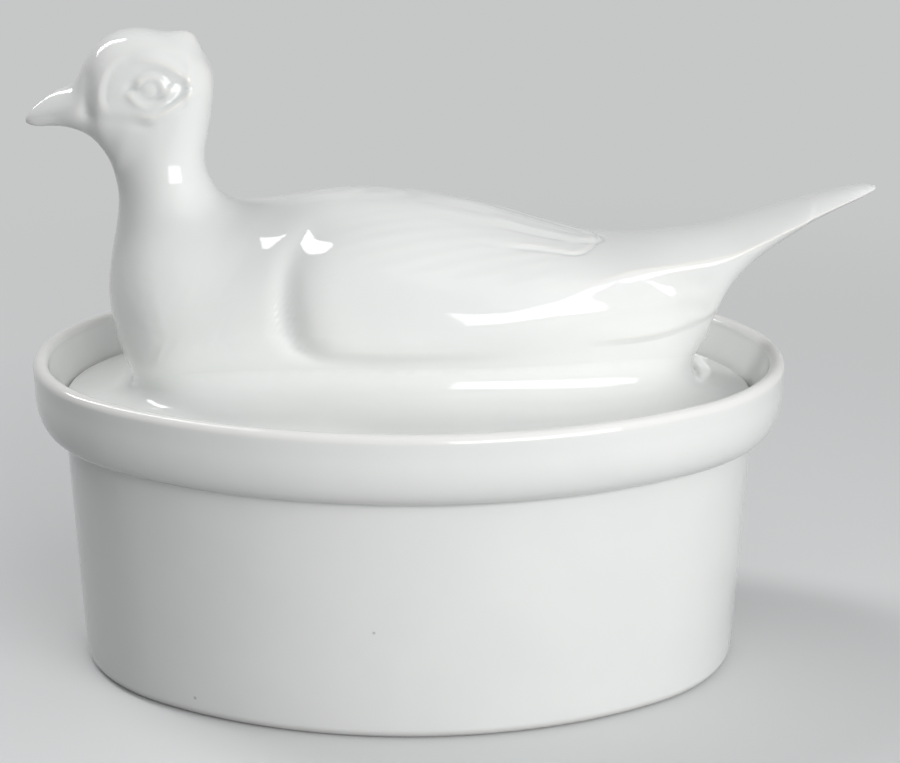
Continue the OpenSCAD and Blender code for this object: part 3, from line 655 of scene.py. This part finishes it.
def glazedPorcelain(look):
    material = bpy.data.materials.new("glazed_porcelain")
    material.use_nodes = True
    tree = material.node_tree
    tree.nodes.clear()
    place = addNode(tree, "ShaderNodeTexCoord").outputs["Object"]
    depth = addNode(tree, "ShaderNodeAttribute", {"attribute_name": "glazeDepthAndHollowShade"}).outputs["Fac"]

    # slow clouding of the white over about four centimetres
    clouds = addNode(tree, "ShaderNodeTexNoise", None, {
        "Vector": place, "Scale": 1 / look["cloudSize"], "Detail": 3})
    cloudShare = addNode(tree, "ShaderNodeMapRange", {"interpolation_type": "SMOOTHSTEP"}, {
        "Value": clouds.outputs["Fac"], "From Min": look["cloudFrom"], "From Max": look["cloudTo"]})
    clouded = addNode(tree, "ShaderNodeMix", {"data_type": "RGBA"}, {
        0: cloudShare.outputs["Result"], 6: toLinear(look["white"]), 7: toLinear(look["cloud"])})
    # warmer where the glaze ran thin; greener where it pooled, and darker there too, which is painted shade
    # in hollows and creases
    thinShare = addNode(tree, "ShaderNodeMapRange", {"interpolation_type": "SMOOTHSTEP"}, {
        "Value": depth, "From Min": look["thinFrom"], "From Max": look["thinTo"]})
    thinned = addNode(tree, "ShaderNodeMix", {"data_type": "RGBA"}, {
        0: thinShare.outputs["Result"], 6: clouded.outputs[2], 7: toLinear(look["thin"])})
    poolAndShadeShare = addNode(tree, "ShaderNodeMapRange", {"interpolation_type": "SMOOTHSTEP"}, {
        "Value": depth, "From Min": look["poolAndShadeFrom"], "From Max": look["poolAndShadeTo"]})
    pooledGlazeAndShade = addNode(tree, "ShaderNodeMix", {"data_type": "RGBA"}, {
        0: poolAndShadeShare.outputs["Result"], 6: thinned.outputs[2], 7: toLinear(look["pooledGlazeAndShade"])})
    # specks: one soft dot for each place
    dots = 0
    for x, y, z, radius in look["specks"]:
        far = addNode(tree, "ShaderNodeVectorMath", {"operation": "DISTANCE"}, {0: place, 1: (x, y, z)})
        dot = addNode(tree, "ShaderNodeMapRange", {"interpolation_type": "SMOOTHSTEP"}, {
            "Value": far.outputs["Value"], "From Min": radius, "From Max": radius * look["speckCore"]})
        both = {0: dot.outputs["Result"], 1: dots}
        dots = addNode(tree, "ShaderNodeMath", {"operation": "MAXIMUM"}, both).outputs[0]
    specked = addNode(tree, "ShaderNodeMix", {"data_type": "RGBA"}, {
        0: dots, 6: pooledGlazeAndShade.outputs[2], 7: toLinear(look["speck"])})
    # clay left bare where the glaze was wiped off
    bare = addNode(tree, "ShaderNodeAttribute", {"attribute_name": "bareClay"}).outputs["Fac"]
    colour = addNode(tree, "ShaderNodeMix", {"data_type": "RGBA"}, {
        0: bare, 6: specked.outputs[2], 7: toLinear(look["bisque"])})
    # light handling has dulled the gloss a little, in patches
    gloss = addNode(tree, "ShaderNodeMapRange", None, {
        "Value": clouds.outputs["Fac"], "From Min": look["wornFrom"], "From Max": look["wornTo"],
        "To Min": look["roughness"], "To Max": look["wornRoughness"]}).outputs["Result"]
    rough = addNode(tree, "ShaderNodeMix", {"data_type": "FLOAT"}, {
        0: bare, 2: gloss, 3: look["bisqueRoughness"]})
    # the glaze wobbles over about 14 mm, and has an orange peel of about 2 mm
    wobble = addNode(tree, "ShaderNodeTexNoise", None, {
        "Vector": place, "Scale": 1 / look["wobbleSize"], "Detail": 1})
    peel = addNode(tree, "ShaderNodeTexNoise", None, {
        "Vector": place, "Scale": 1 / look["peelSize"], "Detail": 1})
    first = addNode(tree, "ShaderNodeBump", None, {
        "Height": wobble.outputs["Fac"], "Strength": 1, "Distance": look["wobble"]})
    second = addNode(tree, "ShaderNodeBump", None, {
        "Height": peel.outputs["Fac"], "Strength": 1, "Distance": look["peel"],
        "Normal": first.outputs["Normal"]})
    shader = addNode(tree, "ShaderNodeBsdfPrincipled", None, {
        "Base Color": colour.outputs[2], "Roughness": rough.outputs[0], "IOR": look["ior"],
        "Normal": second.outputs["Normal"],
        "Subsurface Weight": look["translucent"], "Subsurface Radius": (1, 1, 1),
        "Subsurface Scale": look["translucentDepth"]})
    addNode(tree, "ShaderNodeOutputMaterial", None, {"Surface": shader.outputs["BSDF"]})
    return material


glaze = glazedPorcelain(porcelain)
for piece in (dish, lid):
    piece.data.materials.append(glaze)
print("porcelain on both pieces")


# A pale paper floor: lit and shadowed near the dish, and even further away. Its paper look and the world's
# background are for the camera and for reflections only, and light nothing.
studio = {
    "floorSize": 12, "paper": "#e4e5e5", "bounce": "#66686a", "paperRoughness": 0.9,
    "background": "#c6c7c7", "evenFrom": 0.25, "evenTo": 0.9,
    "worldColour": "#f4f6f8", "worldStrength": 0.34,
    # degrees round from the front (right is positive), up and turned; distance, width, height; watts
    "lamps": {
        "window_softbox": (31, 13, 0, 1.4, 1.1, 0.8, 14.5),
        "overhead_strip": (-119, 48, 0, 1.3, 0.26, 1, 6.2),
        "fill_softbox": (55, 50, 0, 1.6, 1.5, 1.3, 3),
    },
    "aim": (0, 0, 0.12),
}


def seenDirectly(tree):
    # 1 for what the camera sees, also in a reflection or through glass, and 0 where light is gathered
    path = addNode(tree, "ShaderNodeLightPath")
    seen = path.outputs["Is Camera Ray"]
    for other in ("Is Glossy Ray", "Is Transmission Ray"):
        either = {0: seen, 1: path.outputs[other]}
        seen = addNode(tree, "ShaderNodeMath", {"operation": "MAXIMUM"}, either).outputs[0]
    return seen


def makeStage(look):
    half = look["floorSize"] / 2
    mesh = bpy.data.meshes.new("floor")
    corners = [(-half, -half, 0), (half, -half, 0), (half, half, 0), (-half, half, 0)]
    mesh.from_pydata(corners, [], [(0, 1, 2, 3)])
    floor = bpy.data.objects.new("floor", mesh)
    bpy.context.collection.objects.link(floor)
    material = bpy.data.materials.new("paper_floor")
    material.use_nodes = True
    tree = material.node_tree
    tree.nodes.clear()
    place = addNode(tree, "ShaderNodeTexCoord").outputs["Object"]
    far = addNode(tree, "ShaderNodeVectorMath", {"operation": "LENGTH"}, {0: place}).outputs["Value"]
    even = addNode(tree, "ShaderNodeMapRange", {"interpolation_type": "SMOOTHSTEP"}, {
        "Value": far, "From Min": look["evenFrom"], "From Max": look["evenTo"]}).outputs["Result"]
    both = {0: even, 1: seenDirectly(tree)}
    share = addNode(tree, "ShaderNodeMath", {"operation": "MULTIPLY"}, both).outputs[0]
    paper = addNode(tree, "ShaderNodeMix", {"data_type": "RGBA"}, {
        0: seenDirectly(tree), 6: toLinear(look["bounce"]), 7: toLinear(look["paper"])})
    lit = addNode(tree, "ShaderNodeBsdfPrincipled", None, {
        "Base Color": paper.outputs[2], "Roughness": look["paperRoughness"]})
    plain = addNode(tree, "ShaderNodeEmission", None, {"Color": toLinear(look["background"])})
    mixed = addNode(tree, "ShaderNodeMixShader", None, {0: share, 1: lit.outputs[0], 2: plain.outputs[0]})
    addNode(tree, "ShaderNodeOutputMaterial", None, {"Surface": mixed.outputs[0]})
    mesh.materials.append(material)

    for name, (azimuth, height, turn, distance, width, tall, watts) in look["lamps"].items():
        # turned about its own axis, tipped up by its height, swung round by its azimuth, and moved out
        a, h = math.radians(azimuth), math.radians(height)
        data = bpy.data.lights.new(name, "AREA")
        data.shape = "RECTANGLE"
        data.size, data.size_y = width, tall
        data.energy = watts
        lamp = bpy.data.objects.new(name, data)
        out = np.array([math.sin(a) * math.cos(h), -math.cos(a) * math.cos(h), math.sin(h)])
        facing = Matrix.Rotation(a, 4, "Z") @ Matrix.Rotation(math.pi / 2 - h, 4, "X")
        facing = facing @ Matrix.Rotation(math.radians(turn), 4, "Z")
        lamp.matrix_world = Matrix.Translation(np.array(look["aim"]) + distance * out) @ facing
        bpy.context.collection.objects.link(lamp)

    world = bpy.data.worlds.new("studio")
    bpy.context.scene.world = world
    world.use_nodes = True
    tree = world.node_tree
    tree.nodes.clear()
    light = addNode(tree, "ShaderNodeBackground", None, {
        "Color": toLinear(look["worldColour"]), "Strength": look["worldStrength"]})
    plain = addNode(tree, "ShaderNodeBackground", None, {"Color": toLinear(look["background"])})
    seen = seenDirectly(tree)
    mixed = addNode(tree, "ShaderNodeMixShader", None, {0: seen, 1: light.outputs[0], 2: plain.outputs[0]})
    addNode(tree, "ShaderNodeOutputWorld", None, {"Surface": mixed.outputs[0]})


makeStage(studio)
print("floor, lamps and world ready")

camera = {"distance": 0.946, "targetZ": 0.108, "pitch": 16.3, "lens": 97.16, "sensor": 36, "shift": 0.0458}


def makeCamera(look):
    # stands in front of the dish and looks down at it by the pitch
    data = bpy.data.cameras.new("camera")
    data.sensor_width = look["sensor"]
    data.lens = look["lens"]
    data.shift_x = look["shift"]
    data.clip_end = 50
    viewer = bpy.data.objects.new("camera", data)
    pitch = math.radians(look["pitch"])
    back, up = look["distance"] * math.cos(pitch), look["distance"] * math.sin(pitch)
    viewer.location = (0, -back, look["targetZ"] + up)
    viewer.rotation_euler = (math.pi / 2 - pitch, 0, 0)
    bpy.context.collection.objects.link(viewer)
    bpy.context.scene.camera = viewer


makeCamera(camera)
bpy.context.scene.view_settings.view_transform = "Standard"
bpy.context.view_layer.update()
